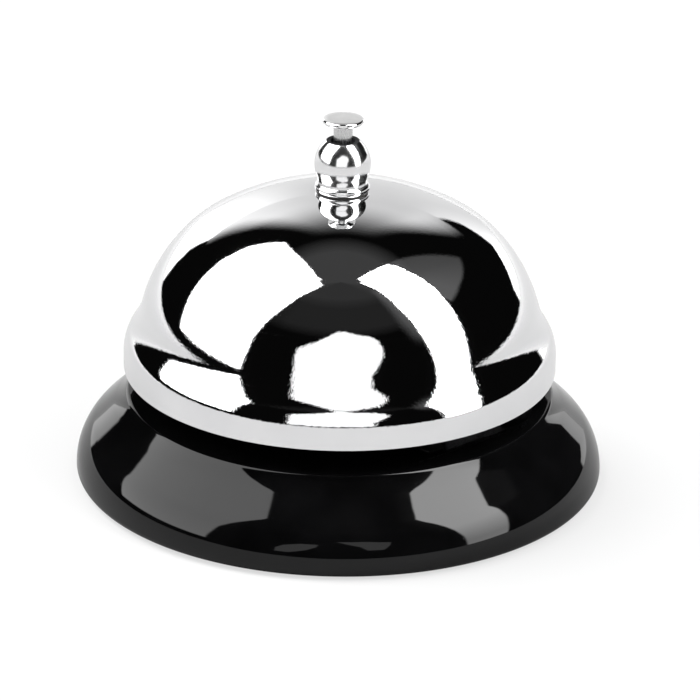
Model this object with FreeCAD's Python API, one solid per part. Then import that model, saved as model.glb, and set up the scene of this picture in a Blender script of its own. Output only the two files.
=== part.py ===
import FreeCAD, Part
import math
import os

# Desk call bell.  Millimetres.  +Z is up along the bell's axis, the origin is the
# centre of the underside, and the hammer lies on the +X side.

# Driving dimensions --------------------------------------------------------------

# Base: a pressed sheet steel foot with an ogee flank, standing on a rubber ring.
BASE_R = 42.5
BASE_SHEET = 1.0
FOOT_PROUD = 0.3
LIP_R = 1.2
LIP_INNER_R = 40.0
FLANK_R = 9.6
FLANK_SLOPE = 44.0
FLANK_STRAIGHT = 4.4
NECK_R = 11.8
NECK_SLOPE = 58.5
RIDGE_R = 0.8
FOOT_RING_INNER_R = 38.4
FOOT_RING_FLANGE_R = 41.0
FOOT_RING_TOP = 2.4

# Bell dome: spun sheet with a flared rim.  Angles are those of the outward normal,
# measured from +Z, where one arc meets the next.
DOME_SHEET = 0.9
RIM_Z = 18.3
RIM_R = 34.8
RIM_EDGE_R = 0.3
RIM_BAND = 2.66
LIP_ARC_R = 6.4
LIP_ARC_END = 55.5
FLARE_R = 12.0
FLARE_END = 75.2
WALL_R = 25.2
WALL_END = 45.7
SHOULDER_R = 17.2
SHOULDER_END = 31.4
LAND_R = 4.6
DOME_HOLE_R = 3.15

# Finial: an acorn nut turned with a bead at its foot.  Heights are above its foot.
FINIAL_H = 8.3
BEAD_R = 4.4
BEAD_H = 1.2
BEAD_ROUND = 0.5
WAIST_R = 4.0
WAIST_H = 1.6
BELLY_R = 4.5
BELLY_H = 4.4
BELLY_ARC_R = 5.02
FINIAL_MOUTH_R = 1.95
FINIAL_MOUTH_DEPTH = 0.5
FINIAL_THREAD_DEPTH = 6.0
UPPER_WASHER = 0.2
UPPER_WASHER_R = 4.15
LOWER_WASHER = 0.6
LOWER_WASHER_R = 4.4

# Push button: mushroom head, stem and the thin rod below it.
BUTTON_TOP_Z = 60.5
HEAD_R = 3.45
HEAD_EDGE = 0.75
HEAD_CONE = 0.4
STEM_R = 1.5
ROD_R = 0.9
ROD_TIP_Z = 27.6
SHOULDER_Z = 51.0
RUNNING_GAP = 0.05

# Hollow threaded post that carries the dome.
THREAD_R = 3.0
THREAD_PITCH = 1.0
THREAD_DEPTH = 0.3
POST_BOTTOM_Z = 29.6
POST_FLANGE_R = 4.6
POST_FLANGE = 1.5
CHAMBER_R = 1.75
CHAMBER_Z = 38.0
HEX_FLATS = 9.0
SEAT_NUT_H = 2.5
POST_NUT_H = 2.4
POST_WASHER = 0.6
POST_WASHER_R = 3.95

# Return spring.
WIRE_R = 0.175
SPRING_R = 1.2
SPRING_COILS = 16

# Retaining clip on the rod.
CLIP_Z = 29.0
CLIP_H = 0.4
CLIP_R = 2.0
CLIP_GROOVE_R = 0.65

# Bracket: one strip of sheet folded into an inverted U with two feet.
BRACKET_SHEET = 1.2
BRACKET_TOP_Z = 34.2
BRACKET_HALF_Y = 6.0
BRACKET_FOOT_Y = 12.8
BRACKET_LOW_X = -6.0
BRACKET_HIGH_X = 13.0
BRACKET_NECK_X = 6.5
BRACKET_NECK_Z = 29.5
BEND_R = 0.8
RIVET_R = 1.2
RIVET_HEAD_R = 2.2
RIVET_HEAD_H = 1.0
RIVET_Y = 9.6
RIVET_XS = (-2.6, 9.6)

# Rocker, arm and hammer.  The arm slopes down from the pivot when at rest.
PIVOT_X = 9.5
PIVOT_Z = 25.0
PIN_R = 1.0
PIN_HEAD_R = 1.8
PIN_HEAD_H = 0.7
ARM_DROP = 21.86
HAMMER_REACH = 19.88
PLATE_UP = 2.3
ROCKER_SHEET = 1.0
ROCKER_HALF_Y = 3.0
ROCKER_EAR_R = 3.2
TAIL_X = -2.5
ROCKER_NOSE = 7.4
ARM_SHEET = 0.6
ARM_HALF_Y = 2.0
ARM_START = 1.4
ARM_RIVET_US = (2.8, 5.8)
ARM_RIVET_R = 0.75
ARM_RIVET_HEAD_R = 1.3
ARM_RIVET_HEAD_H = 0.6
HAMMER_R = 3.0
HAMMER_HALF_H = 2.3
HAMMER_ROUND = 1.2
HAMMER_SHANK_R = 1.0
HAMMER_PEEN_R = 1.7
HAMMER_PEEN_H = 0.7

# Rubber pad under the hammer.
PAD_R = 3.4
PAD_H = 0.4
PAD_STEM_R = 1.2
PAD_BARB_R = 1.9
PAD_BARB_H = 1.2

ORIGIN = FreeCAD.Vector(0, 0, 0)
UP = FreeCAD.Vector(0, 0, 1)
ALONG_X = FreeCAD.Vector(1, 0, 0)
ALONG_Y = FreeCAD.Vector(0, 1, 0)


# Drawing helpers -----------------------------------------------------------------

def at(r, z):
    return FreeCAD.Vector(r, 0, z)


def normal(angle):
    """Unit vector in the XZ plane, tilted from +Z towards +X by angle degrees."""
    a = math.radians(angle)
    return at(math.sin(a), math.cos(a))


def trace(start, angle, steps, inset=0.0):
    """Edges of a smooth outline that begins at start with its normal at angle.

    A step is ("arc", radius, end angle), where a negative radius is hollow, or
    ("line", length), which climbs.  The result is moved inwards by inset.
    """
    edges = []
    here = start
    for kind, size, *end in steps:
        if kind == "line":
            along = at(-math.cos(math.radians(angle)), math.sin(math.radians(angle)))
            there = here + along * size
            shift = normal(angle) * inset
            edges.append(Part.makeLine(here - shift, there - shift))
            here = there
            continue
        centre = here - normal(angle) * size
        radius = size - inset
        angles = (angle, (angle + end[0]) / 2, end[0])
        first, middle, last = [centre + normal(a) * radius for a in angles]
        edges.append(Part.Arc(first, middle, last).toShape())
        here = centre + normal(end[0]) * size
        angle = end[0]
    return edges


def tip(edges):
    """The last point of a traced outline."""
    return edges[-1].valueAt(edges[-1].LastParameter)


def path(*corners):
    """Straight edges through the given points."""
    return [Part.makeLine(a, b) for a, b in zip(corners, corners[1:])]


def face_of(edges):
    return Part.Face(Part.Wire(Part.__sortEdges__(edges)))


def revolved(edges):
    return face_of(edges).revolve(ORIGIN, UP, 360)


def turned(corners):
    """Solid turned about Z from the corners (r, z) of a closed outline."""
    points = [at(r, z) for r, z in corners]
    return revolved(path(*points, points[0]))


def tube(outer, inner, low, high):
    return turned([(inner, low), (outer, low), (outer, high), (inner, high)])


def cylinder(radius, low, high, x=0.0, y=0.0):
    return Part.makeCylinder(radius, high - low, FreeCAD.Vector(x, y, low))


def slab(corners, low_y, high_y):
    """Prism along Y from corners (x, z)."""
    points = [FreeCAD.Vector(x, low_y, z) for x, z in corners]
    outline = Part.makePolygon(points + points[:1])
    return Part.Face(outline).extrude(FreeCAD.Vector(0, high_y - low_y, 0))


def hexagon(flats, low, high):
    corner = flats / math.sqrt(3)
    angles = [math.radians(60 * i) for i in range(7)]
    points = [FreeCAD.Vector(corner * math.cos(a), corner * math.sin(a), low) for a in angles]
    return Part.Face(Part.makePolygon(points)).extrude(UP * (high - low))


def nut(flats, low, high):
    """Hexagon nut with its corners turned off at 30 degrees on both faces."""
    corner = flats / math.sqrt(3)
    bevel = (corner - flats / 2) * math.tan(math.radians(30))
    blank = turned([(0, low), (flats / 2, low), (corner, low + bevel), (corner, high - bevel),
                    (flats / 2, high), (0, high)])
    return hexagon(flats, low, high).common(blank).cut(cylinder(THREAD_R, low, high))


def dome_head(radius, height):
    """Button shaped rivet head, flat face down on z = 0, about the Z axis."""
    sphere_r = (radius ** 2 + height ** 2) / (2 * height)
    rim_angle = math.degrees(math.asin(radius / sphere_r))
    crown = trace(at(radius, 0), rim_angle, [("arc", sphere_r, 0)])
    return revolved(crown + path(at(0, height), at(0, 0), at(radius, 0)))


def on_arm(shape):
    """Place a shape drawn with the pivot at the origin and the arm along +X."""
    shape.rotate(ORIGIN, ALONG_Y, ARM_DROP)
    shape.translate(FreeCAD.Vector(PIVOT_X, 0, PIVOT_Z))
    return shape


# Base ----------------------------------------------------------------------------

LIP_START = at(BASE_R - LIP_R, FOOT_PROUD)
BASE_STEPS = [
    ("arc", LIP_R, 90),
    ("arc", FLANK_R, FLANK_SLOPE),
    ("line", FLANK_STRAIGHT),
    ("arc", -NECK_R, NECK_SLOPE),
    ("arc", RIDGE_R, 0),
]
PLATFORM_Z = tip(trace(LIP_START, 180, BASE_STEPS)).z
HAMMER_X = PIVOT_X + HAMMER_REACH * math.cos(math.radians(ARM_DROP))


def rivet_places():
    return [(x, side * RIVET_Y) for x in RIVET_XS for side in (-1, 1)]


def base_shell():
    outer = trace(LIP_START, 180, BASE_STEPS)
    inner = trace(LIP_START, 180, BASE_STEPS, BASE_SHEET)
    lip_top = FOOT_PROUD + BASE_SHEET
    under_z = PLATFORM_Z - BASE_SHEET
    top = path(tip(outer), at(0, PLATFORM_Z), at(0, under_z), tip(inner))
    lip = path(at(BASE_R - LIP_R, lip_top), at(LIP_INNER_R, lip_top),
               at(LIP_INNER_R, FOOT_PROUD), LIP_START)
    shell = revolved(outer + top + inner + lip)
    for x, y in rivet_places():
        shell = shell.cut(cylinder(RIVET_R, under_z, PLATFORM_Z, x, y))
    return shell.cut(cylinder(PAD_STEM_R, under_z, PLATFORM_Z, HAMMER_X))


def foot_ring():
    """Rubber ring with a flange under the base's lip."""
    corner = 0.15
    return turned([
        (FOOT_RING_INNER_R + corner, 0), (FOOT_RING_FLANGE_R - corner, 0),
        (FOOT_RING_FLANGE_R, corner), (FOOT_RING_FLANGE_R, FOOT_PROUD),
        (LIP_INNER_R, FOOT_PROUD), (LIP_INNER_R, FOOT_RING_TOP),
        (FOOT_RING_INNER_R, FOOT_RING_TOP), (FOOT_RING_INNER_R, corner),
    ])


# Mechanism frame -----------------------------------------------------------------

def mechanism_bracket():
    t = BRACKET_SHEET
    y = BRACKET_HALF_Y
    foot = BRACKET_FOOT_Y
    top = BRACKET_TOP_Z
    floor = PLATFORM_Z
    half = [(y - t, top - t), (y - t, floor), (foot, floor), (foot, floor + t), (y, floor + t), (y, top)]
    outline = half + [(-a, b) for a, b in reversed(half)]
    points = [FreeCAD.Vector(BRACKET_LOW_X, a, b) for a, b in outline]
    strip = Part.Face(Part.makePolygon(points + points[:1]))
    folded = strip.extrude(ALONG_X * (BRACKET_HIGH_X - BRACKET_LOW_X))
    folded = rounded_folds(folded, [(y, floor + t, BEND_R), (y - t, floor, BEND_R + t),
                                    (y, top, BEND_R + t), (y - t, top - t, BEND_R)])
    side = [(BRACKET_LOW_X, floor), (BRACKET_HIGH_X, floor), (BRACKET_HIGH_X, BRACKET_NECK_Z - 2),
            (BRACKET_NECK_X, BRACKET_NECK_Z + 2), (BRACKET_NECK_X, top), (BRACKET_LOW_X, top)]
    bracket = folded.common(slab(side, -foot, foot))
    pin_hole = Part.makeCylinder(PIN_R, 2 * y, FreeCAD.Vector(PIVOT_X, -y, PIVOT_Z), ALONG_Y)
    bracket = bracket.cut(pin_hole)
    for x, rivet_y in rivet_places():
        bracket = bracket.cut(cylinder(RIVET_R, floor, floor + t, x, rivet_y))
    return bracket.cut(cylinder(THREAD_R, top - t, top))


def rounded_folds(shape, folds):
    """Fillet the edges along X that pass through (+-y, z), each with its own radius."""
    for y, z, radius in folds:
        edges = []
        for edge in shape.Edges:
            middle = edge.CenterOfMass
            along_x = abs(edge.BoundBox.XLength - edge.Length) < 1e-6
            if along_x and abs(abs(middle.y) - y) < 1e-6 and abs(middle.z - z) < 1e-6:
                edges.append(edge)
        shape = shape.makeFillet(radius, edges)
    return shape


def bracket_rivets():
    """Four rivets, head above the bracket's feet and tail under the platform."""
    low = PLATFORM_Z - BASE_SHEET
    high = PLATFORM_Z + BRACKET_SHEET
    rivets = []
    for x, y in rivet_places():
        head = dome_head(RIVET_HEAD_R, RIVET_HEAD_H)
        head.translate(FreeCAD.Vector(x, y, high))
        tail = dome_head(RIVET_HEAD_R, RIVET_HEAD_H)
        tail.rotate(ORIGIN, ALONG_X, 180)
        tail.translate(FreeCAD.Vector(x, y, low))
        rivets.append(cylinder(RIVET_R, low, high, x, y).fuse([head, tail]).removeSplitter())
    return Part.makeCompound(rivets)


def thread_teeth(low, high):
    """Corners of a ridged wall, climbing from low to high in whole pitches."""
    corners = []
    for i in range(int((high - low) / THREAD_PITCH)):
        z = low + i * THREAD_PITCH
        corners += [(THREAD_R, z), (THREAD_R, z + 0.35 * THREAD_PITCH),
                    (THREAD_R - THREAD_DEPTH, z + 0.6 * THREAD_PITCH)]
    return corners


def center_post():
    flange_z = BRACKET_TOP_Z
    rod_bore = ROD_R + RUNNING_GAP
    outer = [(rod_bore, POST_BOTTOM_Z), (THREAD_R, POST_BOTTOM_Z), (THREAD_R, flange_z),
             (POST_FLANGE_R, flange_z), (POST_FLANGE_R, flange_z + POST_FLANGE)]
    outer += thread_teeth(flange_z + POST_FLANGE, POST_TOP_Z)
    outer += [(THREAD_R, POST_TOP_Z - 0.3), (THREAD_R - 0.3, POST_TOP_Z), (CHAMBER_R, POST_TOP_Z),
              (CHAMBER_R, CHAMBER_Z), (rod_bore, CHAMBER_Z)]
    return turned(outer)


def post_washer():
    high = BRACKET_TOP_Z - BRACKET_SHEET
    return tube(POST_WASHER_R, THREAD_R, high - POST_WASHER, high)


def post_nut():
    high = BRACKET_TOP_Z - BRACKET_SHEET - POST_WASHER
    return nut(HEX_FLATS, high - POST_NUT_H, high)


# Bell dome and what clamps it ----------------------------------------------------

RIM_START = at(RIM_R - RIM_EDGE_R, RIM_Z)
DOME_STEPS = [
    ("arc", RIM_EDGE_R, 90),
    ("line", RIM_BAND - RIM_EDGE_R),
    ("arc", LIP_ARC_R, LIP_ARC_END),
    ("arc", -FLARE_R, FLARE_END),
    ("arc", WALL_R, WALL_END),
    ("arc", SHOULDER_R, SHOULDER_END),
]
CAP_R = tip(trace(RIM_START, 180, DOME_STEPS)).x / math.sin(math.radians(SHOULDER_END))
DOME_STEPS.append(("arc", CAP_R, math.degrees(math.asin(LAND_R / CAP_R))))
LAND_Z = tip(trace(RIM_START, 180, DOME_STEPS)).z
FINIAL_Z = LAND_Z + UPPER_WASHER
POST_TOP_Z = FINIAL_Z + FINIAL_THREAD_DEPTH


def bell_dome():
    """Spun dome: outer skin, the same skin moved in by the sheet, and a clamped land."""
    outer = trace(RIM_START, 180, DOME_STEPS)
    inner_start = at(RIM_R - DOME_SHEET, RIM_Z)
    inner = path(inner_start, at(RIM_R - DOME_SHEET, RIM_Z + RIM_EDGE_R))
    inner += trace(RIM_START, 180, DOME_STEPS, DOME_SHEET)[1:]
    land = path(tip(outer), at(DOME_HOLE_R, LAND_Z), at(DOME_HOLE_R, LAND_Z - DOME_SHEET), tip(inner))
    return revolved(outer + land + inner + path(inner_start, RIM_START))


def lower_washer():
    high = LAND_Z - DOME_SHEET
    return tube(LOWER_WASHER_R, THREAD_R, high - LOWER_WASHER, high)


def seat_nut():
    high = LAND_Z - DOME_SHEET - LOWER_WASHER
    return nut(HEX_FLATS, high - SEAT_NUT_H, high)


def upper_washer():
    return tube(UPPER_WASHER_R, THREAD_R, LAND_Z, FINIAL_Z)


def finial():
    foot = FINIAL_Z
    hollow_r = belly_hollow_radius()
    turn = math.degrees(math.asin((BELLY_H - WAIST_H) / (BELLY_ARC_R + hollow_r)))
    crown_angle = math.degrees(math.acos((FINIAL_H - BELLY_H) / BELLY_ARC_R))
    bead = trace(at(BEAD_R - BEAD_ROUND, foot), 180, [
        ("arc", BEAD_ROUND, 90), ("line", BEAD_H - 2 * BEAD_ROUND), ("arc", BEAD_ROUND, 0)])
    waist_foot = at(WAIST_R, foot + BEAD_H)
    neck = path(tip(bead), waist_foot, at(WAIST_R, foot + WAIST_H))
    body = trace(at(WAIST_R, foot + WAIST_H), 90, [
        ("arc", -hollow_r, 90 + turn), ("arc", BELLY_ARC_R, 90), ("arc", BELLY_ARC_R, crown_angle)])
    crown = tip(body)
    bore = STEM_R + RUNNING_GAP
    mouth_z = crown.z - FINIAL_MOUTH_DEPTH
    inside = path(crown, at(FINIAL_MOUTH_R, crown.z), at(FINIAL_MOUTH_R, mouth_z), at(bore, mouth_z),
                  at(bore, POST_TOP_Z), at(THREAD_R, POST_TOP_Z), at(THREAD_R, foot),
                  at(BEAD_R - BEAD_ROUND, foot))
    return revolved(bead + neck + body + inside)


def belly_hollow_radius():
    """Radius of the hollow arc that joins the waist to the belly without a kink."""
    rise = BELLY_H - WAIST_H
    swell = BELLY_R - WAIST_R
    return (rise ** 2 + swell ** 2) / (2 * swell) - BELLY_ARC_R


# Push button, spring and clip ----------------------------------------------------

def push_button():
    top = BUTTON_TOP_Z
    edge = HEAD_EDGE / 2
    groove = (CLIP_Z - RUNNING_GAP, CLIP_Z + CLIP_H + RUNNING_GAP)
    crown_z = top - 0.12
    dish = Part.Arc(at(0, top), at((HEAD_R - edge) / 2, top - 0.03), at(HEAD_R - edge, crown_z)).toShape()
    rim = trace(at(HEAD_R - edge, crown_z - 2 * edge), 180, [("arc", edge, 0)])
    neck_z = crown_z - HEAD_EDGE - HEAD_CONE
    lower = path(at(HEAD_R - edge, crown_z - 2 * edge), at(STEM_R, neck_z), at(STEM_R, SHOULDER_Z),
                 at(ROD_R, SHOULDER_Z), at(ROD_R, groove[1]), at(CLIP_GROOVE_R, groove[1]),
                 at(CLIP_GROOVE_R, groove[0]), at(ROD_R, groove[0]), at(ROD_R, ROD_TIP_Z + ROD_R))
    nose = Part.Arc(at(ROD_R, ROD_TIP_Z + ROD_R),
                    at(ROD_R * math.sqrt(0.5), ROD_TIP_Z + ROD_R * (1 - math.sqrt(0.5))),
                    at(0, ROD_TIP_Z)).toShape()
    return revolved([dish] + rim + lower + [nose] + path(at(0, ROD_TIP_Z), at(0, top)))


def return_spring():
    """Round wire helix between the chamber's floor and the stem's shoulder."""
    height = SHOULDER_Z - CHAMBER_Z - 2 * WIRE_R - 2 * RUNNING_GAP
    helix = Part.makeHelix(height / SPRING_COILS, height, SPRING_R)
    start = at(SPRING_R, 0)
    section = Part.Wire(Part.makeCircle(WIRE_R, start, ALONG_Y))
    spring = Part.Wire(helix.Edges).makePipeShell([section], True, True)
    spring.translate(UP * (CHAMBER_Z + WIRE_R + RUNNING_GAP))
    return spring


def retaining_clip():
    """Open spring clip in the rod's groove, its mouth towards -X."""
    ring = tube(CLIP_R, CLIP_GROOVE_R, CLIP_Z, CLIP_Z + CLIP_H)
    mouth = Part.makeBox(CLIP_R, 2 * CLIP_GROOVE_R, CLIP_H,
                         FreeCAD.Vector(-CLIP_R, -CLIP_GROOVE_R, CLIP_Z))
    return ring.cut(mouth)


# Rocker, arm and hammer ----------------------------------------------------------

def rocker():
    """Folded rocker: the tail lies level under the rod, the nose slopes with the arm."""
    half = math.radians(ARM_DROP / 2)
    top = PIVOT_Z + PLATE_UP
    low = top - ROCKER_SHEET
    bend = PIVOT_X + PLATE_UP * math.tan(half)
    under = PIVOT_X + (PLATE_UP - ROCKER_SHEET) * math.tan(half)
    tail = slab([(TAIL_X, low), (under, low), (bend, top), (TAIL_X, top)],
                -ROCKER_HALF_Y, ROCKER_HALF_Y)
    nose = on_arm(slab([
        (-PLATE_UP * math.tan(half), PLATE_UP), (ROCKER_NOSE, PLATE_UP),
        (ROCKER_NOSE, PLATE_UP - ROCKER_SHEET),
        (-(PLATE_UP - ROCKER_SHEET) * math.tan(half), PLATE_UP - ROCKER_SHEET),
    ], -ROCKER_HALF_Y, ROCKER_HALF_Y))
    pieces = [nose]
    for low_y in (-ROCKER_HALF_Y, ROCKER_HALF_Y - ROCKER_SHEET):
        high_y = low_y + ROCKER_SHEET
        r = ROCKER_EAR_R
        cheek = slab([(PIVOT_X - 5.5, low), (under, low), (PIVOT_X + 0.75 * r, PIVOT_Z - 0.6 * r),
                      (PIVOT_X - 0.75 * r, PIVOT_Z - 0.6 * r)], low_y, high_y)
        wing = on_arm(slab([(-0.4 * r, PLATE_UP - ROCKER_SHEET), (5.0, PLATE_UP - ROCKER_SHEET),
                            (0.9 * r, -0.3 * r), (0, -0.5 * r)], low_y, high_y))
        ear = Part.makeCylinder(r, ROCKER_SHEET, FreeCAD.Vector(PIVOT_X, low_y, PIVOT_Z), ALONG_Y)
        ear = ear.common(slab([(PIVOT_X - r, PIVOT_Z - r), (PIVOT_X + r, PIVOT_Z - r),
                               (PIVOT_X + r, PIVOT_Z), (PIVOT_X - r, PIVOT_Z)], low_y, high_y))
        pieces += [cheek, wing, ear]
    body = tail.fuse(pieces).removeSplitter()
    body = body.cut(Part.makeCylinder(PIN_R + RUNNING_GAP, 2 * ROCKER_HALF_Y,
                                      FreeCAD.Vector(PIVOT_X, -ROCKER_HALF_Y, PIVOT_Z), ALONG_Y))
    for u in ARM_RIVET_US:
        body = body.cut(on_arm(cylinder(ARM_RIVET_R, 0, PLATE_UP, u)))
    return body


def pivot_pin():
    """Pin through both legs of the bracket, headed on the -Y side and peened on the other."""
    y = BRACKET_HALF_Y
    shaft = cylinder(PIN_R, -y, y)
    head = dome_head(PIN_HEAD_R, PIN_HEAD_H)
    head.translate(UP * y)
    peen = dome_head(0.8 * PIN_HEAD_R, PIN_HEAD_H)
    peen.rotate(ORIGIN, ALONG_X, 180)
    peen.translate(UP * -y)
    pin = shaft.fuse([head, peen]).removeSplitter()
    pin.rotate(ORIGIN, ALONG_X, 90)
    pin.translate(FreeCAD.Vector(PIVOT_X, 0, PIVOT_Z))
    return pin


def pivot_spacers():
    """Two short sleeves that centre the rocker between the bracket's legs."""
    inner_face = BRACKET_HALF_Y - BRACKET_SHEET
    sleeves = []
    for side in (-1, 1):
        sleeve = tube(1.8 * PIN_R, PIN_R, ROCKER_HALF_Y + RUNNING_GAP, inner_face)
        sleeve.rotate(ORIGIN, ALONG_X, -90 * side)
        sleeve.translate(FreeCAD.Vector(PIVOT_X, 0, PIVOT_Z))
        sleeves.append(sleeve)
    return Part.makeCompound(sleeves)


def hammer_arm():
    """Spring steel strip with round ends, riveted on the rocker's nose."""
    low = PLATE_UP
    high = PLATE_UP + ARM_SHEET
    strip = slab([(ARM_START, low), (HAMMER_REACH, low), (HAMMER_REACH, high), (ARM_START, high)],
                 -ARM_HALF_Y, ARM_HALF_Y)
    end = cylinder(ARM_HALF_Y, low, high, HAMMER_REACH)
    strip = strip.fuse(end).removeSplitter()
    strip = strip.cut(cylinder(HAMMER_SHANK_R, low, high, HAMMER_REACH))
    for u in ARM_RIVET_US:
        strip = strip.cut(cylinder(ARM_RIVET_R, low, high, u))
    return on_arm(strip)


def arm_rivets():
    low = PLATE_UP - ROCKER_SHEET
    high = PLATE_UP + ARM_SHEET
    rivets = []
    for u in ARM_RIVET_US:
        head = dome_head(ARM_RIVET_HEAD_R, ARM_RIVET_HEAD_H)
        head.translate(FreeCAD.Vector(u, 0, high))
        shank = cylinder(ARM_RIVET_R, low, high, u)
        rivets.append(on_arm(shank.fuse(head).removeSplitter()))
    return Part.makeCompound(rivets)


def hammer_head():
    """Turned hammer with rounded edges; its shank is peened over the arm."""
    r = HAMMER_R
    h = HAMMER_HALF_H
    c = HAMMER_ROUND
    peen_z = PLATE_UP + ARM_SHEET
    body = trace(at(r - c, -h), 180, [("arc", c, 90), ("line", 2 * (h - c)), ("arc", c, 0)])
    shank = path(tip(body), at(HAMMER_SHANK_R, h), at(HAMMER_SHANK_R, peen_z), at(HAMMER_PEEN_R, peen_z))
    peen = path(at(HAMMER_PEEN_R, peen_z), at(HAMMER_PEEN_R * 0.6, peen_z + HAMMER_PEEN_H),
                at(0, peen_z + HAMMER_PEEN_H), at(0, -h), at(r - c, -h))
    head = revolved(body + shank + peen)
    head.translate(ALONG_X * HAMMER_REACH)
    return on_arm(head)


def rest_pad():
    """Push-in rubber pad that the hammer comes to rest on."""
    top = PLATFORM_Z + PAD_H
    under = PLATFORM_Z - BASE_SHEET
    pad = turned([(0, top), (PAD_R - 0.25, top), (PAD_R, top - 0.25), (PAD_R, PLATFORM_Z),
                  (PAD_STEM_R, PLATFORM_Z), (PAD_STEM_R, under), (PAD_BARB_R, under),
                  (PAD_STEM_R, under - PAD_BARB_H), (0, under - PAD_BARB_H)])
    pad.translate(ALONG_X * HAMMER_X)
    return pad


NODES = [
    base_shell, foot_ring, mechanism_bracket, bracket_rivets, center_post, post_washer, post_nut,
    bell_dome, lower_washer, seat_nut, upper_washer, finial, push_button, return_spring,
    retaining_clip, rocker, pivot_pin, pivot_spacers, hammer_arm, arm_rivets, hammer_head, rest_pad,
]

os.makedirs("parts", exist_ok=True)
for make in NODES:
    shape = make()
    shape.exportStep("parts/" + make.__name__ + ".step")
    print(make.__name__, "solids", len(shape.Solids), "valid", shape.isValid(),
          "volume", round(shape.Volume, 2))
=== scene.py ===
import math

import bmesh
import bpy
from mathutils import Matrix, Vector


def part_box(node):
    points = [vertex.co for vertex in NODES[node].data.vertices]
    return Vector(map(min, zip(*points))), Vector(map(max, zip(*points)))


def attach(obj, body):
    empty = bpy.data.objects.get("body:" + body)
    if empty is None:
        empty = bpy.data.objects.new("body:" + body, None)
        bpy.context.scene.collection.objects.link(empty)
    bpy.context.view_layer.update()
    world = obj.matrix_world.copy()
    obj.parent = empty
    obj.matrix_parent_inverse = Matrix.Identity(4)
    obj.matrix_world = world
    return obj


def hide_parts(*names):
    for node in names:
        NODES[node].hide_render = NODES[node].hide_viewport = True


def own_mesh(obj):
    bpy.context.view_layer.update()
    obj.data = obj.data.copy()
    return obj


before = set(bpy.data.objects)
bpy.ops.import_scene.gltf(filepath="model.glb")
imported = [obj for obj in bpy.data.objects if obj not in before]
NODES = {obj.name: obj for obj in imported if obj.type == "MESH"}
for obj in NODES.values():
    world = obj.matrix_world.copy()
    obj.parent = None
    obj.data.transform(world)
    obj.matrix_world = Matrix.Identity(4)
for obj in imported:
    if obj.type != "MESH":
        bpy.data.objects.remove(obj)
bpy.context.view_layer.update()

# Service bell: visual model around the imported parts.  Metres, +Z up, the camera looks along +Y.

MM = 0.001


def low(node):
    """Lowest corner of a CAD node's box."""
    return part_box(node)[0]


def high(node):
    """Highest corner of a CAD node's box."""
    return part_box(node)[1]


# Outlines ------------------------------------------------------------------------
# An outline is a list of (r, z) points.  Angles are those of the outward normal, in
# degrees from +Z towards the outside.

def trace(start, angle, steps, inset=0.0, grain=1.0):
    """Points of a smooth outline that begins at start with its normal at angle.

    A step is ("arc", radius, end angle), where a negative radius is hollow, or
    ("line", length), which climbs.  The result is moved inwards by inset, and grain
    is the turn between two points of an arc.
    """
    r, z = start
    points = []
    for kind, size, *end in steps:
        a = math.radians(angle)
        if kind == "line":
            r, z = r - size * math.cos(a), z + size * math.sin(a)
            points.append((r - inset * math.sin(a), z - inset * math.cos(a)))
            continue
        centre = r - size * math.sin(a), z - size * math.cos(a)
        turn = end[0] - angle
        count = max(2, round(abs(turn) / grain))
        first = 0 if not points else 1
        for i in range(first, count + 1):
            b = math.radians(angle + turn * i / count)
            points.append((centre[0] + (size - inset) * math.sin(b),
                           centre[1] + (size - inset) * math.cos(b)))
        angle = end[0]
        b = math.radians(angle)
        r, z = centre[0] + size * math.sin(b), centre[1] + size * math.cos(b)
    return points


def rounded(corners, radius, grain=15.0):
    """Closed outline through the corners, each of them rounded as far as its sides allow."""
    points = []
    for i, corner in enumerate(corners):
        here = Vector(corner)
        back = Vector(corners[i - 1]) - here
        on = Vector(corners[(i + 1) % len(corners)]) - here
        open_angle = back.angle(on)
        reach = min(radius / math.tan(open_angle / 2), 0.45 * back.length, 0.45 * on.length)
        first, last = here + back.normalized() * reach, here + on.normalized() * reach
        count = max(2, round(math.degrees(math.pi - open_angle) / grain))
        for k in range(count + 1):
            t = k / count
            points.append(tuple(first * (1 - t) ** 2 + here * 2 * t * (1 - t) + last * t ** 2))
    return points


# Mesh tools ----------------------------------------------------------------------

def add_mesh(name, vertices, faces, body, slot, replaced=(), crease=38.0):
    """A smooth shaded piece that rides on a body, with its normals pointing outwards."""
    mesh = bpy.data.meshes.new(name)
    mesh.from_pydata(vertices, [], faces)
    work = bmesh.new()
    work.from_mesh(mesh)
    bmesh.ops.recalc_face_normals(work, faces=work.faces)
    work.to_mesh(mesh)
    work.free()
    mesh.shade_smooth()
    mesh.set_sharp_from_angle(angle=math.radians(crease))
    piece = bpy.data.objects.new(name, mesh)
    bpy.context.scene.collection.objects.link(piece)
    mesh.materials.append(MATERIALS[slot])
    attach(piece, body)
    if replaced:
        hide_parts(*replaced)
    return piece


def lathe(outline, segments, place=Matrix.Identity(4)):
    """Vertices and faces of a closed outline turned about Z; points on the axis are one vertex."""
    vertices, rings = [], []
    for r, z in outline:
        if r < 1e-9:
            rings.append([len(vertices)] * segments)
            vertices.append(place @ Vector((0, 0, z)))
            continue
        rings.append([len(vertices) + i for i in range(segments)])
        for i in range(segments):
            a = math.tau * i / segments
            vertices.append(place @ Vector((r * math.cos(a), r * math.sin(a), z)))
    faces = []
    for lower, upper in zip(rings, rings[1:] + rings[:1]):
        for i in range(segments):
            k = (i + 1) % segments
            face = list(dict.fromkeys((lower[i], lower[k], upper[k], upper[i])))
            if len(face) > 2:
                faces.append(face)
    return vertices, faces


def turned(name, outline, body, slot, replaced=(), segments=320, place=Matrix.Identity(4), crease=38.0):
    """A piece made by turning a closed outline about Z."""
    vertices, faces = lathe(outline, segments, place)
    return add_mesh(name, vertices, faces, body, slot, replaced, crease)


# Node tools ----------------------------------------------------------------------

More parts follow.
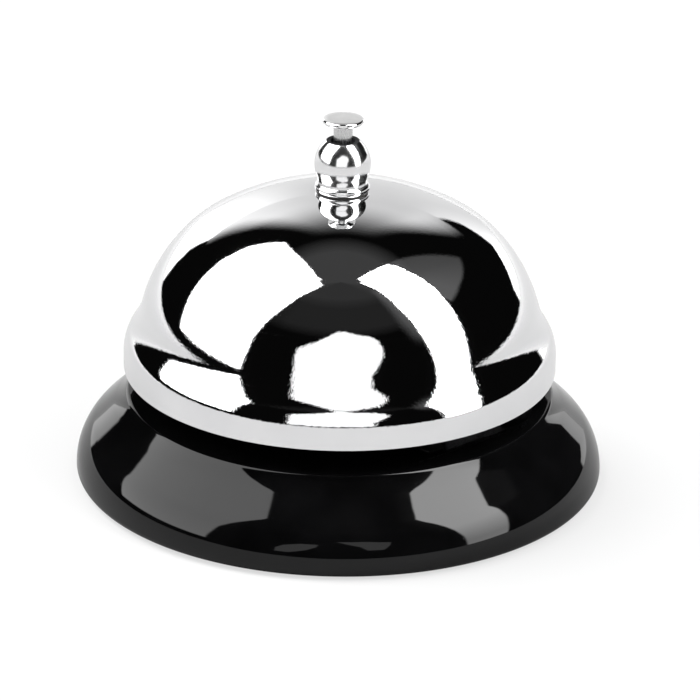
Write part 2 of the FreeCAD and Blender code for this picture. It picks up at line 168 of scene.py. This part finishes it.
class Nodes:
    """Short calls for building one node tree."""

    def __init__(self, tree):
        self.tree = tree

    def node(self, kind, inputs=None, **settings):
        made = self.tree.nodes.new(kind)
        for key, value in settings.items():
            setattr(made, key, value)
        for key, value in (inputs or {}).items():
            self.plug(value, made.inputs[key])
        return made

    def plug(self, value, socket):
        if isinstance(value, bpy.types.NodeSocket):
            self.tree.links.new(value, socket)
        else:
            socket.default_value = value

    def math(self, operation, a, b=0.0):
        return self.node("ShaderNodeMath", {0: a, 1: b}, operation=operation).outputs[0]

    def between(self, value, start, end, low_value=0.0, high_value=1.0, kind="LINEAR"):
        """value mapped from start..end to low_value..high_value, held at both ends."""
        inputs = {"Value": value, "From Min": start, "From Max": end,
                  "To Min": low_value, "To Max": high_value}
        return self.node("ShaderNodeMapRange", inputs, interpolation_type=kind).outputs[0]

    def noise(self, scale, detail=2.0, vector=None, roughness=0.5):
        inputs = {"Scale": scale, "Detail": detail, "Roughness": roughness,
                  "Vector": vector or self.place()}
        return self.node("ShaderNodeTexNoise", inputs).outputs["Fac"]

    def place(self):
        return self.node("ShaderNodeTexCoord").outputs["Object"]

    def stretched(self, x, y, z):
        """The place on the object, scaled along its axes."""
        return self.node("ShaderNodeMapping", {"Vector": self.place(), "Scale": (x, y, z)}).outputs[0]

    def ring_place(self, across):
        """A place that runs slowly round the Z axis and quickly across, as turning marks do."""
        split = self.node("ShaderNodeSeparateXYZ", {0: self.place()})
        x, y, z = split.outputs
        r = self.math("SQRT", self.math("ADD", self.math("MULTIPLY", x, x), self.math("MULTIPLY", y, y)))
        turn = self.math("ARCTAN2", y, x)
        inputs = {"X": self.math("MULTIPLY", r, across), "Y": self.math("MULTIPLY", turn, 1.2),
                  "Z": self.math("MULTIPLY", z, across)}
        return self.node("ShaderNodeCombineXYZ", inputs).outputs[0]

    def faces_axis(self):
        """1 on surfaces that are turned towards the Z axis, and 0 elsewhere."""
        flat = self.node("ShaderNodeVectorMath", {0: self.place(), 1: (1, 1, 0)}, operation="MULTIPLY")
        out = self.node("ShaderNodeVectorMath", {0: flat.outputs[0]}, operation="NORMALIZE")
        normal = self.node("ShaderNodeNewGeometry").outputs["Normal"]
        lean = self.node("ShaderNodeVectorMath", {0: out.outputs[0], 1: normal}, operation="DOT_PRODUCT")
        return self.between(lean.outputs["Value"], -0.02, -0.01, 1.0, 0.0)

    def mix(self, fac, first, second):
        """A colour that goes from first to second."""
        made = self.node("ShaderNodeMix", {"Factor": fac}, data_type="RGBA")
        for colour, socket in ((first, made.inputs[6]), (second, made.inputs[7])):
            self.plug((*colour, 1) if isinstance(colour, tuple) else colour, socket)
        return made.outputs[2]

    def tint(self, fac, dark, light, start=0.3, end=0.7):
        """A colour between dark and light."""
        return self.mix(self.between(fac, start, end), dark, light)

    def bump(self, height, distance, normal=None):
        made = self.node("ShaderNodeBump", {"Height": height, "Distance": distance, "Strength": 1.0})
        if normal:
            self.plug(normal, made.inputs["Normal"])
        return made.outputs[0]


def material(name, **fixed):
    """A new material with its Principled shader and the nodes that feed it."""
    made = bpy.data.materials.new(name)
    made.use_nodes = True
    shader = made.node_tree.nodes["Principled BSDF"]
    for key, value in fixed.items():
        shader.inputs[key.replace("_", " ")].default_value = value
    return made, Nodes(made.node_tree), shader.inputs


# Materials -----------------------------------------------------------------------

def mirror_chrome():
    """Mirror plate with faint haze, hairlines and grain, which is stronger low on the dome.

    It is softer above the dome, where the finial is, and on surfaces that face the axis, such as the dome's
    inside, it is rough and nearly black: painted shade.
    """
    made, n, shader = material("mirror_chrome", Metallic=1.0)
    inside_shade = n.faces_axis()
    haze = n.noise(90, 3)
    bright = n.tint(haze, (0.80, 0.80, 0.81), (0.85, 0.85, 0.855))
    # Painted shade: surfaces that face the axis, such as the dome's inside, are nearly black.
    n.plug(n.mix(inside_shade, bright, (0.03, 0.03, 0.032)), shader["Base Color"])
    hairs = n.noise(1.0, 2, n.ring_place(5200), 0.7)
    z = n.node("ShaderNodeSeparateXYZ", {0: n.place()}).outputs[2]
    crown = high("bell_dome").z
    softer = n.between(z, crown - 0.5 * MM, crown + 0.5 * MM, 0.0, 0.12)
    rough = n.math("ADD", n.between(haze, 0.3, 0.8, 0.018, 0.036), n.between(hairs, 0.62, 0.8, 0.0, 0.05))
    rough = n.math("ADD", n.math("ADD", rough, softer), n.math("MULTIPLY", inside_shade, 0.5))
    n.plug(rough, shader["Roughness"])
    wave = n.bump(n.noise(260, 1), 2.2e-6)
    foot_top = high("base_shell").z
    coarse = n.between(z, foot_top + 12 * MM, foot_top + 24 * MM, 1.0, 0.27)
    grain = n.math("MULTIPLY", n.noise(2400, 3), coarse)
    n.plug(n.bump(grain, 9.0e-6, wave), shader["Normal"])
    return made


def button_nickel():
    """Polished head over a satin drawn stem with fine lengthwise marks."""
    made, n, shader = material("button_nickel", Metallic=1.0)
    haze = n.noise(700, 3)
    z = n.node("ShaderNodeSeparateXYZ", {0: n.place()}).outputs[2]
    head_z = high("push_button").z - 1.5 * MM
    drawn = n.noise(1.0, 2, n.stretched(9000, 9000, 300), 0.6)
    stem_rough = n.between(drawn, 0.3, 0.7, 0.16, 0.3)
    head_rough = n.between(haze, 0.3, 0.8, 0.03, 0.06)
    on_head = n.between(z, head_z - 0.05 * MM, head_z + 0.05 * MM)
    off_head = n.math("SUBTRACT", 1.0, on_head)
    polish = n.tint(haze, (0.78, 0.78, 0.78), (0.84, 0.84, 0.835))
    n.plug(n.mix(off_head, polish, (0.6, 0.6, 0.6)), shader["Base Color"])
    n.plug(n.math("ADD", n.math("MULTIPLY", head_rough, on_head), n.math("MULTIPLY", stem_rough, off_head)),
           shader["Roughness"])
    marks = n.math("MULTIPLY", drawn, off_head)
    n.plug(n.bump(n.noise(1500, 2), 0.8e-6, n.bump(marks, 2.5e-6)), shader["Normal"])
    return made


def black_enamel():
    """Stoved gloss enamel with a slight orange peel and a little dust dulling."""
    made, n, shader = material("black_enamel", IOR=1.36)
    cloud = n.noise(120, 4)
    n.plug(n.tint(cloud, (0.0012, 0.0012, 0.0013), (0.0026, 0.0026, 0.0028)), shader["Base Color"])
    specks = n.between(n.noise(1900, 1), 0.72, 0.8)
    n.plug(n.math("ADD", n.between(cloud, 0.3, 0.8, 0.03, 0.055), n.math("MULTIPLY", specks, 0.1)),
           shader["Roughness"])
    peel = n.bump(n.noise(420, 1), 3.0e-6)
    n.plug(n.bump(n.noise(90, 1), 9.0e-6, peel), shader["Normal"])
    return made


def black_oxide():
    """Oiled black oxide on steel: nearly black, with paler worn patches and a fine tooth."""
    made, n, shader = material("black_oxide", Metallic=1.0)
    blotch = n.noise(240, 4)
    wear = n.between(n.noise(620, 3), 0.6, 0.8, 0.0, 0.06)
    shade = n.math("ADD", n.between(blotch, 0.3, 0.7, 0.016, 0.034), wear)
    n.plug(shade, shader["Base Color"])
    n.plug(n.between(blotch, 0.3, 0.8, 0.34, 0.5), shader["Roughness"])
    n.plug(n.bump(n.noise(2600, 3), 6e-6), shader["Normal"])
    return made


def spring_steel():
    """Drawn and oiled steel, dark, with marks that are fine across Y."""
    made, n, shader = material("spring_steel", Metallic=1.0)
    marks = n.noise(1.0, 3, n.stretched(900, 6000, 900), 0.65)
    stain = n.noise(300, 3)
    n.plug(n.tint(stain, (0.16, 0.16, 0.18), (0.30, 0.30, 0.32)), shader["Base Color"])
    n.plug(n.between(marks, 0.25, 0.75, 0.2, 0.4), shader["Roughness"])
    n.plug(n.bump(marks, 5e-6), shader["Normal"])
    return made


def brass_turned():
    """Turned brass with fine tool marks and a slight tarnish."""
    made, n, shader = material("brass_turned", Metallic=1.0)
    tarnish = n.noise(330, 4)
    marks = n.noise(1.0, 1, n.stretched(500, 500, 9000), 0.6)
    n.plug(n.tint(tarnish, (0.56, 0.37, 0.13), (0.82, 0.61, 0.28)), shader["Base Color"])
    n.plug(n.between(tarnish, 0.3, 0.7, 0.18, 0.34), shader["Roughness"])
    n.plug(n.bump(marks, 6e-6), shader["Normal"])
    return made


def rubber_black():
    """Matt moulded rubber, slightly dusty."""
    made, n, shader = material("rubber_black", IOR=1.45)
    bloom = n.noise(450, 5, roughness=0.65)
    n.plug(n.tint(bloom, (0.012, 0.012, 0.012), (0.034, 0.033, 0.031)), shader["Base Color"])
    n.plug(n.between(bloom, 0.3, 0.7, 0.62, 0.82), shader["Roughness"])
    n.plug(n.bump(n.noise(3500, 3), 2e-5), shader["Normal"])
    return made


def black_fibre():
    """Pressed fibre sheet: short fibres in the plane of the washer."""
    made, n, shader = material("black_fibre", IOR=1.45)
    fibres = n.noise(1.0, 4, n.stretched(2500, 2500, 14000), 0.7)
    n.plug(n.tint(fibres, (0.010, 0.009, 0.009), (0.040, 0.037, 0.034)), shader["Base Color"])
    n.plug(n.between(fibres, 0.3, 0.7, 0.55, 0.75), shader["Roughness"])
    n.plug(n.bump(fibres, 1.5e-5), shader["Normal"])
    return made


MATERIALS = {make.__name__: make() for make in (
    mirror_chrome, button_nickel, black_enamel, black_oxide, spring_steel, brass_turned,
    rubber_black, black_fibre)}


def finish_cad_nodes():
    """Each carried over CAD node gets the procedural material of its own slot."""
    for node in NODES.values():
        for holder in node.material_slots:
            holder.material = MATERIALS[holder.material.name.split(".")[0]]


# Pieces --------------------------------------------------------------------------

DOME_SHEET = 0.9 * MM
BASE_SHEET = 1.0 * MM
DOME_HOLE_R = 3.15 * MM


def dome_outline():
    """Outer skin from the rim to the land, then the same skin moved in by the sheet."""
    rim_r, rim_z, land_z = high("bell_dome").x, low("bell_dome").z, high("bell_dome").z
    edge, shoulder_end = 0.3 * MM, 31.4
    wall = [("line", 2.36 * MM), ("arc", 6.4 * MM, 55.5), ("arc", -12.0 * MM, 75.2),
            ("arc", 25.2 * MM, 45.7), ("arc", 17.2 * MM, shoulder_end)]
    start = (rim_r - edge, rim_z)
    shoulder = trace(start, 180, [("arc", edge, 90)] + wall)[-1]
    cap_r = shoulder[0] / math.sin(math.radians(shoulder_end))
    land_angle = math.degrees(math.asin(4.6 * MM / cap_r))
    wall.append(("arc", cap_r, land_angle))
    outer = trace(start, 180, [("arc", edge, 90)] + wall)
    inner = trace((rim_r, rim_z + edge), 90, wall, DOME_SHEET, 4.0)
    land = [(DOME_HOLE_R + 0.1 * MM, land_z), (DOME_HOLE_R, land_z - 0.1 * MM),
            (DOME_HOLE_R, land_z - DOME_SHEET)]
    inside_r = rim_r - DOME_SHEET
    inside_edge = [(inside_r, rim_z + 0.2 * MM), (inside_r + 0.06 * MM, rim_z + 0.06 * MM),
                   (inside_r + 0.2 * MM, rim_z)]
    return outer + land + inner[::-1] + inside_edge


def base_outline():
    """Outer skin from the lip to the platform's middle, the under side, and the turned in lip."""
    base_r, foot_z, top_z = high("base_shell").x, low("base_shell").z, high("base_shell").z
    lip_r, lip_inner_r = 1.2 * MM, 40.0 * MM
    steps = [("arc", lip_r, 90), ("arc", 9.6 * MM, 44.0), ("line", 4.4 * MM),
             ("arc", -11.8 * MM, 58.5), ("arc", 0.8 * MM, 0.0)]
    start = (base_r - lip_r, foot_z)
    outer = trace(start, 180, steps, 0.0, 1.5)
    inner = trace(start, 180, steps, BASE_SHEET, 6.0)
    platform_r = outer[-1][0]
    top = [(platform_r * k / 6, top_z) for k in (5, 4, 3, 2, 1, 0)]
    under = [(platform_r * k / 6, top_z - BASE_SHEET) for k in (0, 1, 2, 3, 4, 5)]
    lip = [(lip_inner_r, foot_z + BASE_SHEET), (lip_inner_r, foot_z)]
    return outer + top + under + inner[::-1] + lip


def finial_outline():
    """Bead, waist, round belly and crown, then the mouth and the bore for the stem and post."""
    foot, mouth_r, bore_r = low("finial").z, 1.95 * MM, 1.55 * MM
    belly_r, waist_r, arc_r = high("finial").x, 4.0 * MM, 5.02 * MM
    waist_h, belly_h, height = 1.6 * MM, 4.4 * MM, 8.3 * MM
    bead_r, bead_h, bead_round = 4.4 * MM, 1.2 * MM, 0.5 * MM
    rise, swell = belly_h - waist_h, belly_r - waist_r
    hollow_r = (rise ** 2 + swell ** 2) / (2 * swell) - arc_r
    turn = math.degrees(math.asin(rise / (arc_r + hollow_r)))
    crown_angle = math.degrees(math.acos((height - belly_h) / arc_r))
    bead = trace((bead_r - bead_round, foot), 180, [
        ("arc", bead_round, 90), ("line", bead_h - 2 * bead_round), ("arc", bead_round, 0)], 0.0, 6.0)
    body = trace((waist_r, foot + waist_h), 90, [
        ("arc", -hollow_r, 90 + turn), ("arc", arc_r, 90), ("arc", arc_r, crown_angle)])
    crown_r, crown_z = body[-1]
    groove = [(waist_r + 0.12 * MM, foot + bead_h + 0.02 * MM), (waist_r, foot + bead_h + 0.12 * MM)]
    mouth_z = crown_z - 0.5 * MM
    lip = [(mouth_r + 0.12 * MM, crown_z - 0.01 * MM), (mouth_r + 0.03 * MM, crown_z - 0.05 * MM),
           (mouth_r, crown_z - 0.14 * MM)]
    thread_z = high("center_post").z
    bore = [(mouth_r, mouth_z), (bore_r, mouth_z), (bore_r, thread_z), (3.0 * MM, thread_z), (3.0 * MM, foot)]
    return bead + groove + body + lip + bore


def button_outline():
    """Mushroom head, stem, thin rod with the clip's groove, and the rod's round nose."""
    top, tip_z = high("push_button").z, low("push_button").z
    head_r, edge, stem_r, rod_r = high("push_button").x, 0.375 * MM, 1.5 * MM, 0.9 * MM
    crown_z, shoulder_z = top - 0.12 * MM, high("return_spring").z + 0.05 * MM
    clip_low, clip_high = low("retaining_clip").z - 0.05 * MM, high("retaining_clip").z + 0.05 * MM
    groove_r = 0.65 * MM
    nose = [(rod_r * math.cos(math.radians(a)), tip_z + rod_r * (1 - math.sin(math.radians(a))))
            for a in range(90, -1, -10)]
    rod = [(rod_r, clip_low), (groove_r, clip_low), (groove_r, clip_high), (rod_r, clip_high),
           (rod_r, shoulder_z)]
    neck_z = crown_z - 1.15 * MM
    stem = [(stem_r - 0.15 * MM, shoulder_z), (stem_r, shoulder_z + 0.15 * MM), (stem_r, neck_z - 0.12 * MM),
            (stem_r + 0.03 * MM, neck_z), (stem_r + 0.16 * MM, neck_z + 0.09 * MM)]
    rim = trace((head_r - edge, crown_z - 2 * edge), 155, [("arc", edge, 4)], 0.0, 6.0)
    crown = [(head_r * k, top - 0.12 * MM * k ** 2 * 1.1) for k in (0.8, 0.6, 0.4, 0.2, 0.0)]
    return nose + rod + stem + rim + crown


def ring_outline():
    """Rubber ring under the lip, with a shallow groove round its sole."""
    inner_r, flange_r = 38.4 * MM, high("foot_ring").x
    lip_inner_r, top = 40.0 * MM, high("foot_ring").z
    lip_z = low("base_shell").z
    middle = (inner_r + flange_r) / 2
    sole = [(middle - 0.35 * MM, 0.0), (middle - 0.2 * MM, 0.15 * MM), (middle + 0.2 * MM, 0.15 * MM),
            (middle + 0.35 * MM, 0.0)]
    corners = [(inner_r, 0.0)] + sole + [(flange_r, 0.0), (flange_r, lip_z), (lip_inner_r, lip_z),
                                         (lip_inner_r, top), (inner_r, top)]
    return rounded(corners, 0.12 * MM)


def washer_outline(node, hole_r=3.0 * MM):
    """Flat washer with softened edges."""
    outer_r, foot, top = high(node).x, low(node).z, high(node).z
    return rounded([(hole_r, foot), (outer_r, foot), (outer_r, top), (hole_r, top)], 0.08 * MM)


def make_spring():
    """Return spring with closed, ground ends, built as one fixed coil at its rest length."""
    foot, top = low("return_spring").z, high("return_spring").z
    coil_r, wire_r = 1.2 * MM, 0.175 * MM
    turns, dead, around, sides = 16.0, 1.25, 28, 12
    count = int(turns * around)
    bottom, height = foot + wire_r, top - foot - 2 * wire_r
    dead_rise = 2 * wire_r * 1.04 * dead

    def climb(turn):
        if turn < dead:
            return dead_rise * turn / dead
        if turn > turns - dead:
            return height - dead_rise * (turns - turn) / dead
        return dead_rise + (height - 2 * dead_rise) * (turn - dead) / (turns - 2 * dead)

    vertices, faces = [], []
    for i in range(count + 1):
        turn = i / around
        a = math.tau * turn
        out = Vector((math.cos(a), math.sin(a), 0))
        for k in range(sides):
            b = math.tau * k / sides
            z = bottom + climb(turn) + wire_r * math.sin(b)
            vertices.append(out * (coil_r + wire_r * math.cos(b)) + Vector((0, 0, min(max(z, foot), top))))
    for i in range(count):
        for k in range(sides):
            a, b = i * sides + k, i * sides + (k + 1) % sides
            faces.append((a, b, b + sides, a + sides))
    faces += [tuple(range(sides))[::-1], tuple(count * sides + k for k in range(sides))]
    spring = add_mesh("return_spring_coil", vertices, faces, "base", "spring_steel", ["return_spring"])
    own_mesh(spring)


def make_pieces():
    """All visual pieces; the enamelled foot and a list of the plated ones are returned."""
    plated = [turned("dome_skin", dome_outline(), "base", "mirror_chrome", ["bell_dome"])]
    foot = turned("enamelled_foot", base_outline(), "base", "black_enamel", ["base_shell"])
    plated.append(turned("acorn_finial", finial_outline(), "base", "mirror_chrome", ["finial"], 192))
    plated.append(turned("mushroom_button", button_outline(), "plunger", "button_nickel",
                         ["push_button"], 128))
    turned("foot_rubber", ring_outline(), "base", "rubber_black", ["foot_ring"], 256)
    turned("finial_washer", washer_outline("upper_washer"), "base", "black_fibre", ["upper_washer"], 128)
    make_spring()
    return foot, plated


# Studio --------------------------------------------------------------------------
# Rows are (elevation, azimuth of the left edge, azimuth of the right edge) in degrees as
# seen from the bell.  Azimuth 0 is behind the bell, 90 on the camera's right, 180 at the
# camera, and the backdrop's azimuths are negative on the camera's left.  The softboxes
# are named by the camera's left and right, and the two slits by the bell's view of them.

RIGHT_SOFTBOX = [(0, 104, 124), (15, 101, 124), (30, 97, 125), (45, 91, 126), (55, 80, 127), (60, 68, 126),
                 (65, 50, 124), (68, 44, 122), (75, 45, 115), (79, 47, 107), (82, 50, 98)]
LEFT_SOFTBOX = [(6, 237, 285), (20, 236, 293), (30, 236, 299), (35, 235, 304), (41, 234, 315), (45, 233, 321),
                (56, 230, 330), (60, 229, 328), (70, 229, 323), (76, 231, 317), (80, 235, 307),
                (82, 240, 299)]
BOARD_GLOW = 1.3
FRONT_BOARD = [(3, 162, 206), (12, 162, 206), (18, 158, 206), (25, 154, 207), (30, 153, 206),
               (36, 155, 196), (39, 158, 191), (42, 168, 186), (44.5, 177, 182)]
LEFT_SLIT = [(15, 160, 167), (22, 157, 170), (27, 156, 176), (31, 168, 180)]
RIGHT_SLIT = [(8, 200, 206), (14, 193, 206), (20, 189, 203), (25, 188, 196)]
BACKDROP = [(0, -39, 46), (5, -39, 45), (8, -38, 37), (11, -38, 29), (14, -36, 27), (18, -35, 22),
            (22, -33, 21), (25, -31, 21)]
BACKDROP_GLOW = [(25, -30, 23), (30, -27, 25), (35, -25, 25), (40, -22, 24), (45, -20, 22), (50, -17, 19),
                 (56, -13, 16), (62, -10, 13)]
CORNER_CARD = [(38, 42, 90), (43, 42, 92), (62, 42, 80), (66, 42, 60)]
SOFTBOX_SPILL = [(30, 122, 129), (42, 122, 133), (62, 122, 134), (72, 118, 128)]


def edge_curve(n, elevation, rows, column, lowest, span):
    """The azimuth of one edge of a panel at each elevation."""
    made = n.node("ShaderNodeFloatCurve", {"Value": n.math("DIVIDE", elevation, 90.0)})
    curve = made.mapping.curves[0]
    for row in rows[1:-1]:
        curve.points.new(row[0] / 90, (row[column] - lowest) / span)
    for end, row in ((0, rows[0]), (-1, rows[-1])):
        curve.points[end].location = (row[0] / 90, (row[column] - lowest) / span)
    for point in curve.points:
        point.handle_type = "VECTOR"
    made.mapping.update()
    return n.math("ADD", n.math("MULTIPLY", made.outputs[0], span), lowest)


def panel(n, elevation, azimuth, rows, soft=0.8, end_soft=0.8):
    """1 inside the panel and 0 outside it, with soft sides and ends."""
    lowest = min(row[1] for row in rows)
    span = max(row[2] for row in rows) - lowest
    left = edge_curve(n, elevation, rows, 1, lowest, span)
    right = edge_curve(n, elevation, rows, 2, lowest, span)
    from_left = n.between(n.math("SUBTRACT", azimuth, left), -soft, soft, kind="SMOOTHSTEP")
    from_right = n.between(n.math("SUBTRACT", right, azimuth), -soft, soft, kind="SMOOTHSTEP")
    foot, top = rows[0][0], rows[-1][0]
    above = n.between(elevation, foot - end_soft, foot + end_soft, kind="SMOOTHSTEP")
    below = n.between(elevation, top - end_soft, top + end_soft, 1.0, 0.0, kind="SMOOTHSTEP")
    return n.math("MULTIPLY", n.math("MULTIPLY", from_left, from_right), n.math("MULTIPLY", above, below))


def make_world():
    """A dark studio with softboxes and a backdrop, which the camera itself sees as plain pale grey.

    Light from beneath reaches only the underside of the foot, through the open floor.
    """
    world = bpy.data.worlds.new("studio")
    world.use_nodes = True
    bpy.context.scene.world = world
    world.node_tree.nodes.clear()
    n = Nodes(world.node_tree)
    direction = n.node("ShaderNodeTexCoord").outputs["Generated"]
    x, y, z = n.node("ShaderNodeSeparateXYZ", {0: direction}).outputs
    to_degrees = math.degrees(1)
    elevation = n.math("MULTIPLY", n.math("ARCSINE", z), to_degrees)
    signed = n.math("MULTIPLY", n.math("ARCTAN2", x, y), to_degrees)
    azimuth = n.math("MODULO", n.math("ADD", signed, 360.0), 360.0)

    aside = n.math("ABSOLUTE", signed)
    ceiling = n.math("MULTIPLY", n.between(elevation, 61.0, 70.0, 0.0, 0.064),
                     n.between(aside, 100.0, 140.0, 1.0, 0.3))
    entrance = n.math("MULTIPLY", n.between(elevation, 39.0, 46.0, 0.0, 0.02),
                      n.between(aside, 100.0, 140.0))
    card = n.math("MULTIPLY", panel(n, elevation, azimuth, CORNER_CARD, 1.5, 1.5),
                  n.between(azimuth, 42.0, 80.0, 0.08, 0.15))
    spill = n.math("MULTIPLY", panel(n, elevation, azimuth, SOFTBOX_SPILL, 6.0, 6.0), 0.12)
    fade = n.math("MULTIPLY", n.between(elevation, 0.0, 30.0, 1.06, 0.92),
                  n.between(elevation, 34.0, 60.0, 1.0, 0.0, "SMOOTHSTEP"))
    sides = n.between(n.math("ABSOLUTE", n.math("SUBTRACT", signed, 5.0)), 8.0, 36.0, 1.0, 2.5, "SMOOTHSTEP")
    cloth = n.math("ADD", n.math("MULTIPLY", panel(n, elevation, signed, BACKDROP, 1.0), sides),
                   n.math("MULTIPLY", panel(n, elevation, signed, BACKDROP_GLOW, 6.0),
                          n.math("POWER", sides, 0.5)))
    backdrop = n.math("MULTIPLY", cloth, fade)
    right = n.math("MULTIPLY", panel(n, elevation, azimuth, RIGHT_SOFTBOX),
                   n.between(elevation, 8.0, 35.0, 7.0, 14.0))
    left = n.math("MULTIPLY", panel(n, elevation, azimuth, LEFT_SOFTBOX),
                  n.between(elevation, 5.0, 35.0, 5.6, 5.0))
    beneath = n.between(elevation, -4.0, -2.0, 1.6, 0.0)
    light = 0.003
    for part in (ceiling, entrance, card, spill, backdrop, right, left, beneath):
        light = n.math("ADD", part, light)
    seen = n.node("ShaderNodeLightPath").outputs["Is Camera Ray"]
    strength = n.math("ADD", n.math("MULTIPLY", seen, 1.05),
                      n.math("MULTIPLY", n.math("SUBTRACT", 1.0, seen), light))
    glow = n.node("ShaderNodeBackground", {"Strength": strength})
    n.node("ShaderNodeOutputWorld", {"Surface": glow.outputs[0]})


def toward(azimuth, elevation):
    """Unit vector in a direction of the studio."""
    az, el = math.radians(azimuth), math.radians(elevation)
    return Vector((math.cos(el) * math.sin(az), math.cos(el) * math.cos(az), math.sin(el)))


def make_board(name, rows, reach, receivers):
    """Glowing board that fills the rows' directions, reach metres away.

    It lights and shows in the receivers only, and is black to the rest.  A nearer board
    hides a farther one, so the two slits lie just in front of the front board and glow as
    it does.
    """
    columns = 12
    vertices, faces = [], []
    for elevation, left, right in rows:
        for i in range(columns + 1):
            vertices.append(toward(left + (right - left) * i / columns, elevation) * reach)
    for row in range(len(rows) - 1):
        for i in range(columns):
            a = row * (columns + 1) + i
            faces.append((a, a + 1, a + columns + 2, a + columns + 1))
    mesh = bpy.data.meshes.new(name)
    mesh.from_pydata(vertices, [], faces)
    board = bpy.data.objects.new(name, mesh)
    bpy.context.scene.collection.objects.link(board)
    made = bpy.data.materials.new(name)
    made.use_nodes = True
    made.node_tree.nodes.clear()
    n = Nodes(made.node_tree)
    glow = n.node("ShaderNodeEmission", {"Strength": BOARD_GLOW})
    n.node("ShaderNodeOutputMaterial", {"Surface": glow.outputs[0]})
    mesh.materials.append(made)
    board.visible_camera = False
    board.visible_shadow = False
    lit = bpy.data.collections.new(name + "_lights")
    for piece in receivers:
        lit.objects.link(piece)
    board.light_linking.receiver_collection = lit


def make_floor():
    """Plain grey floor, which is lifted to near white for the camera.

    It is open under the foot and seen through from below, so that the underside can be
    looked at.  To everything but the camera it also glows a little behind the bell.
    """
    count, inner, outer = 96, high("foot_ring").x - 2 * MM, 30.0
    vertices = []
    for k in range(count):
        a = math.tau * k / count
        vertices += [(r * math.cos(a), r * math.sin(a), 0) for r in (inner, outer)]
    faces = [(2 * k, 2 * k + 1, (2 * k + 3) % (2 * count), (2 * k + 2) % (2 * count)) for k in range(count)]
    mesh = bpy.data.meshes.new("floor")
    mesh.from_pydata(vertices, [], faces)
    floor = bpy.data.objects.new("floor", mesh)
    bpy.context.scene.collection.objects.link(floor)
    made = bpy.data.materials.new("pale_floor")
    made.use_nodes = True
    made.node_tree.nodes.clear()
    n = Nodes(made.node_tree)
    seen = n.node("ShaderNodeLightPath").outputs["Is Camera Ray"]
    paper = n.node("ShaderNodeBsdfDiffuse", {"Color": n.between(seen, 0.0, 1.0, 0.25, 0.115)})
    y = n.node("ShaderNodeSeparateXYZ", {0: n.place()}).outputs[1]
    unseen = n.math("MULTIPLY", n.math("SUBTRACT", 1.0, seen), n.between(y, 0.12, 0.6, 0.0, 0.22))
    lift = n.node("ShaderNodeEmission", {"Strength": n.math("ADD", n.math("MULTIPLY", seen, 0.675), unseen)})
    upper = n.node("ShaderNodeAddShader", {0: paper.outputs[0], 1: lift.outputs[0]})
    clear = n.node("ShaderNodeBsdfTransparent")
    behind = n.math("MULTIPLY", n.node("ShaderNodeNewGeometry").outputs["Backfacing"], seen)
    both = n.node("ShaderNodeMixShader", {0: behind, 1: upper.outputs[0], 2: clear.outputs[0]})
    n.node("ShaderNodeOutputMaterial", {"Surface": both.outputs[0]})
    mesh.materials.append(made)


def make_floor_light():
    """Soft light from behind on the left that falls on the floor only."""
    data = bpy.data.lights.new("floor_light", "SUN")
    data.energy = 4.6
    data.angle = math.radians(40)
    light = bpy.data.objects.new("floor_light", data)
    bpy.context.scene.collection.objects.link(light)
    light.rotation_euler = (-toward(300, 55)).to_track_quat("-Z", "Y").to_euler()
    lit = bpy.data.collections.new("floor_light_lights")
    lit.objects.link(bpy.data.objects["floor"])
    light.light_linking.receiver_collection = lit


def make_camera():
    """Long lens, 24.4 degrees above the table, aimed between the foot and the finial."""
    elevation, distance, roll = math.radians(24.4), 0.714, math.radians(0.9)
    up = Vector((0, math.sin(elevation), math.cos(elevation)))
    place = Vector((0, -math.cos(elevation), math.sin(elevation))) * distance
    aim = up * 19.1 * MM + Vector((1.65 * MM, 0, 0))
    data = bpy.data.cameras.new("camera")
    data.sensor_width = 36.0
    data.lens = 225.3
    camera = bpy.data.objects.new("camera", data)
    bpy.context.scene.collection.objects.link(camera)
    turn = (aim - place).to_track_quat("-Z", "Y").to_matrix().to_4x4()
    camera.matrix_world = Matrix.Translation(place) @ turn @ Matrix.Rotation(roll, 4, "Z")
    bpy.context.scene.camera = camera


finish_cad_nodes()
foot, plated = make_pieces()
make_world()
make_board("front_board", FRONT_BOARD, 3.0, plated)
make_board("front_slit_left", LEFT_SLIT, 2.97, [foot, *plated])
make_board("front_slit_right", RIGHT_SLIT, 2.97, [foot, *plated])
make_floor()
make_floor_light()
make_camera()
bpy.context.scene.view_settings.view_transform = "Standard"
